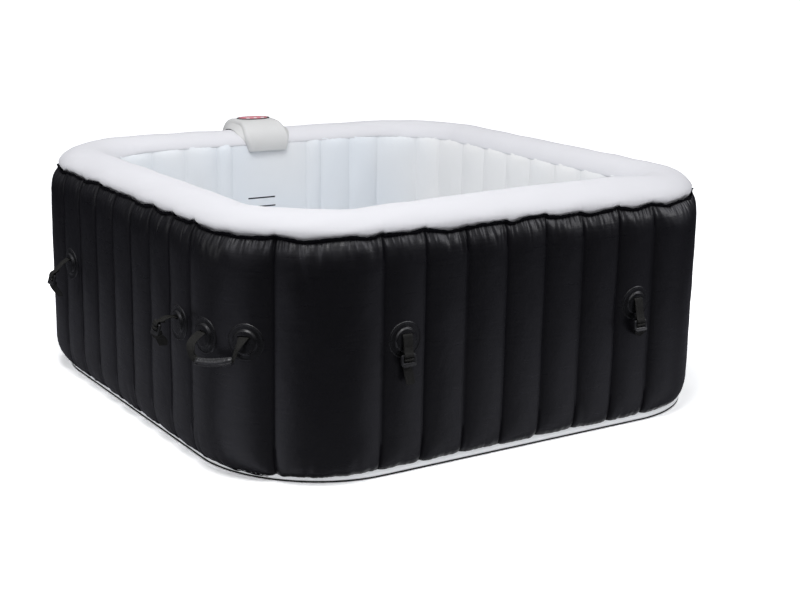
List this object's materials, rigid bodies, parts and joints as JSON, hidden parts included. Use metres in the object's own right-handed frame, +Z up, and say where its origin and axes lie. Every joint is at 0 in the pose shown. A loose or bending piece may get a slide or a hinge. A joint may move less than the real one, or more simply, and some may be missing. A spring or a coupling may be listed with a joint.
{
  "type": "inflatable hot tub",
  "caption": "Square inflatable hot tub: black fluted air wall, padded white rim and basin, rim-mounted control console, cover strap buckles and carrying handles.",
  "frame": {"origin": "centre of the tub footprint on the ground, on the underside of the base sheet", "axes": "+Z up; +Y towards the wall that carries the control console; +X to the right when facing the console from the front (-Y) side"},
  "size_m": [1.6539, 1.6233, 0.6854],
  "materials": {
    "black_pvc": "satin coated fabric, fine leather-like grain",
    "white_pvc": "satin coated fabric",
    "inner_pvc": "satin coated fabric",
    "web_pvc": "woven web with a thin coating",
    "console_grey": "satin moulded ABS",
    "panel_red": "glossy printed panel",
    "key_white": "soft key",
    "case_plastic": "moulded plastic",
    "pump_grey": "moulded plastic",
    "steel": "brushed",
    "board_green": "circuit laminate",
    "fitting_white": "moulded plastic",
    "filter_paper": "pleated filter cloth",
    "webbing": "ribbed polyester webbing",
    "buckle_plastic": "moulded acetal",
    "grip_pvc": "soft ribbed tube",
    "cable_rubber": "matte cable sheath"
  },
  "bodies": {
    "tub": {"outer_wall": "black_pvc", "inner_wall": "inner_pvc", "top_rim": "white_pvc", "base_sheet": "white_pvc", "bubble_channel": "inner_pvc", "baffle_web": "web_pvc", "console_shell": "console_grey", "display_lens": "panel_red", "equipment_case": "case_plastic", "pump_body": "pump_grey", "air_blower": "case_plastic", "heater_tube": "steel", "circuit_board": "board_green", "suction_fitting": "fitting_white", "return_fitting": "fitting_white", "air_valve": "case_plastic", "drain_valve": "case_plastic", "power_cable": "cable_rubber", "power_plug": "case_plastic", "anchor_front_left": "black_pvc", "anchor_front_right": "black_pvc", "anchor_right_front": "black_pvc", "anchor_right_back": "black_pvc", "anchor_back_right": "black_pvc", "anchor_back_left": "black_pvc", "anchor_left_back": "black_pvc", "anchor_left_front": "black_pvc", "handle_anchor_front_1": "black_pvc", "handle_anchor_front_2": "black_pvc", "handle_anchor_back_1": "black_pvc", "handle_anchor_back_2": "black_pvc"},
    "strap_front_left": {"strap_front_left": "webbing"},
    "buckle_front_left": {"buckle_front_left": "buckle_plastic"},
    "strap_front_right": {"strap_front_right": "webbing"},
    "buckle_front_right": {"buckle_front_right": "buckle_plastic"},
    "strap_right_front": {"strap_right_front": "webbing"},
    "buckle_right_front": {"buckle_right_front": "buckle_plastic"},
    "strap_right_back": {"strap_right_back": "webbing"},
    "buckle_right_back": {"buckle_right_back": "buckle_plastic"},
    "strap_back_right": {"strap_back_right": "webbing"},
    "buckle_back_right": {"buckle_back_right": "buckle_plastic"},
    "strap_back_left": {"strap_back_left": "webbing"},
    "buckle_back_left": {"buckle_back_left": "buckle_plastic"},
    "strap_left_back": {"strap_left_back": "webbing"},
    "buckle_left_back": {"buckle_left_back": "buckle_plastic"},
    "strap_left_front": {"strap_left_front": "webbing"},
    "buckle_left_front": {"buckle_left_front": "buckle_plastic"},
    "handle_front": {"handle_webbing_front": "webbing", "handle_grip_front": "grip_pvc"},
    "handle_back": {"handle_webbing_back": "webbing", "handle_grip_back": "grip_pvc"},
    "power_button": {"power_button": "key_white"},
    "heat_button": {"heat_button": "key_white"},
    "bubble_button": {"bubble_button": "key_white"},
    "pump_impeller": {"pump_impeller": "fitting_white"},
    "blower_fan": {"blower_fan": "fitting_white"},
    "filter_cartridge": {"filter_cartridge": "filter_paper"},
    "filter_cap": {"filter_cap": "fitting_white"},
    "air_valve_cap": {"air_valve_cap": "case_plastic"},
    "drain_cap": {"drain_cap": "case_plastic"}
  },
  "joints": [
    {"name": "strap_front_left_swing", "type": "hinge", "parent": "tub", "child": "strap_front_left", "pos_m": [-0.364, -0.77629, 0.3575], "axis": [-1, 0, 0], "range_deg": [-5, 119]},
    {"name": "buckle_front_left_swing", "type": "hinge", "parent": "strap_front_left", "child": "buckle_front_left", "pos_m": [-0.364, -0.78121, 0.31076], "axis": [-1, 0, 0], "range_deg": [-3, 50]},
    {"name": "strap_front_right_swing", "type": "hinge", "parent": "tub", "child": "strap_front_right", "pos_m": [0.364, -0.77629, 0.3575], "axis": [-1, 0, 0], "range_deg": [-8, 113]},
    {"name": "buckle_front_right_swing", "type": "hinge", "parent": "strap_front_right", "child": "buckle_front_right", "pos_m": [0.364, -0.78814, 0.30175], "axis": [-1, 0, 0], "range_deg": [-3, 50]},
    {"name": "strap_right_front_swing", "type": "hinge", "parent": "tub", "child": "strap_right_front", "pos_m": [0.77629, -0.364, 0.3575], "axis": [0, -1, 0], "range_deg": [-7, 117]},
    {"name": "buckle_right_front_swing", "type": "hinge", "parent": "strap_right_front", "child": "buckle_right_front", "pos_m": [0.78423, -0.364, 0.30105], "axis": [0, -1, 0], "range_deg": [-3, 50]},
    {"name": "strap_right_back_swing", "type": "hinge", "parent": "tub", "child": "strap_right_back", "pos_m": [0.77629, 0.364, 0.3575], "axis": [0, -1, 0], "range_deg": [-7, 117]},
    {"name": "buckle_right_back_swing", "type": "hinge", "parent": "strap_right_back", "child": "buckle_right_back", "pos_m": [0.78423, 0.364, 0.30105], "axis": [0, -1, 0], "range_deg": [-3, 50]},
    {"name": "strap_back_right_swing", "type": "hinge", "parent": "tub", "child": "strap_back_right", "pos_m": [0.364, 0.77629, 0.3575], "axis": [1, 0, 0], "range_deg": [-7, 117]},
    {"name": "buckle_back_right_swing", "type": "hinge", "parent": "strap_back_right", "child": "buckle_back_right", "pos_m": [0.364, 0.78423, 0.30105], "axis": [1, 0, 0], "range_deg": [-3, 50]},
    {"name": "strap_back_left_swing", "type": "hinge", "parent": "tub", "child": "strap_back_left", "pos_m": [-0.364, 0.77629, 0.3575], "axis": [1, 0, 0], "range_deg": [-7, 117]},
    {"name": "buckle_back_left_swing", "type": "hinge", "parent": "strap_back_left", "child": "buckle_back_left", "pos_m": [-0.364, 0.78423, 0.30105], "axis": [1, 0, 0], "range_deg": [-3, 50]},
    {"name": "strap_left_back_swing", "type": "hinge", "parent": "tub", "child": "strap_left_back", "pos_m": [-0.77629, 0.364, 0.3575], "axis": [0, 1, 0], "range_deg": [-20, 75]},
    {"name": "buckle_left_back_swing", "type": "hinge", "parent": "strap_left_back", "child": "buckle_left_back", "pos_m": [-0.82226, 0.364, 0.31893], "axis": [0, 1, 0], "range_deg": [-5, 100]},
    {"name": "strap_left_front_swing", "type": "hinge", "parent": "tub", "child": "strap_left_front", "pos_m": [-0.77629, -0.364, 0.3575], "axis": [0, 1, 0], "range_deg": [-30, 45]},
    {"name": "buckle_left_front_swing", "type": "hinge", "parent": "strap_left_front", "child": "buckle_left_front", "pos_m": [-0.82258, -0.364, 0.34934], "axis": [0, 1, 0], "range_deg": [-15, 100]},
    {"name": "handle_front_lift", "type": "hinge", "parent": "tub", "child": "handle_front", "pos_m": [-0.74873, -0.56657, 0.3575], "axis": [-0.4158, 0.9095, 0], "range_deg": [-20, 100]},
    {"name": "handle_back_lift", "type": "hinge", "parent": "tub", "child": "handle_back", "pos_m": [0.74873, 0.56657, 0.3575], "axis": [0.4158, -0.9095, 0], "range_deg": [-20, 100]},
    {"name": "power_press", "type": "slide", "parent": "tub", "child": "power_button", "axis": [0, 0, -1], "range_m": [0, 0.001], "stiffness_N_per_m": 400},
    {"name": "heat_press", "type": "slide", "parent": "tub", "child": "heat_button", "axis": [0, 0, -1], "range_m": [0, 0.001], "stiffness_N_per_m": 400},
    {"name": "bubble_press", "type": "slide", "parent": "tub", "child": "bubble_button", "axis": [0, 0, -1], "range_m": [0, 0.001], "stiffness_N_per_m": 400},
    {"name": "impeller_spin", "type": "hinge", "parent": "tub", "child": "pump_impeller", "pos_m": [-0.062, 0.6515, 0.175], "axis": [0, 1, 0], "continuous": true},
    {"name": "fan_spin", "type": "hinge", "parent": "tub", "child": "blower_fan", "pos_m": [-0.052, 0.6515, 0.455], "axis": [0, 1, 0], "continuous": true},
    {"name": "filter_pull", "type": "slide", "parent": "tub", "child": "filter_cartridge", "axis": [0, -1, 0], "range_m": [0, 0.12]},
    {"name": "filter_cap_turn", "type": "hinge", "parent": "filter_cartridge", "child": "filter_cap", "pos_m": [-0.062, 0.51, 0.175], "axis": [0, -1, 0], "range_deg": [0, 90]},
    {"name": "air_valve_cap_open", "type": "hinge", "parent": "tub", "child": "air_valve_cap", "pos_m": [0.148, 0.7785, 0.4775], "axis": [1, 0, 0], "range_deg": [0, 150]},
    {"name": "drain_cap_turn", "type": "hinge", "parent": "tub", "child": "drain_cap", "pos_m": [0.1115, 0.7708, 0.068], "axis": [0, 1, 0], "range_deg": [0, 540]}
  ]
}
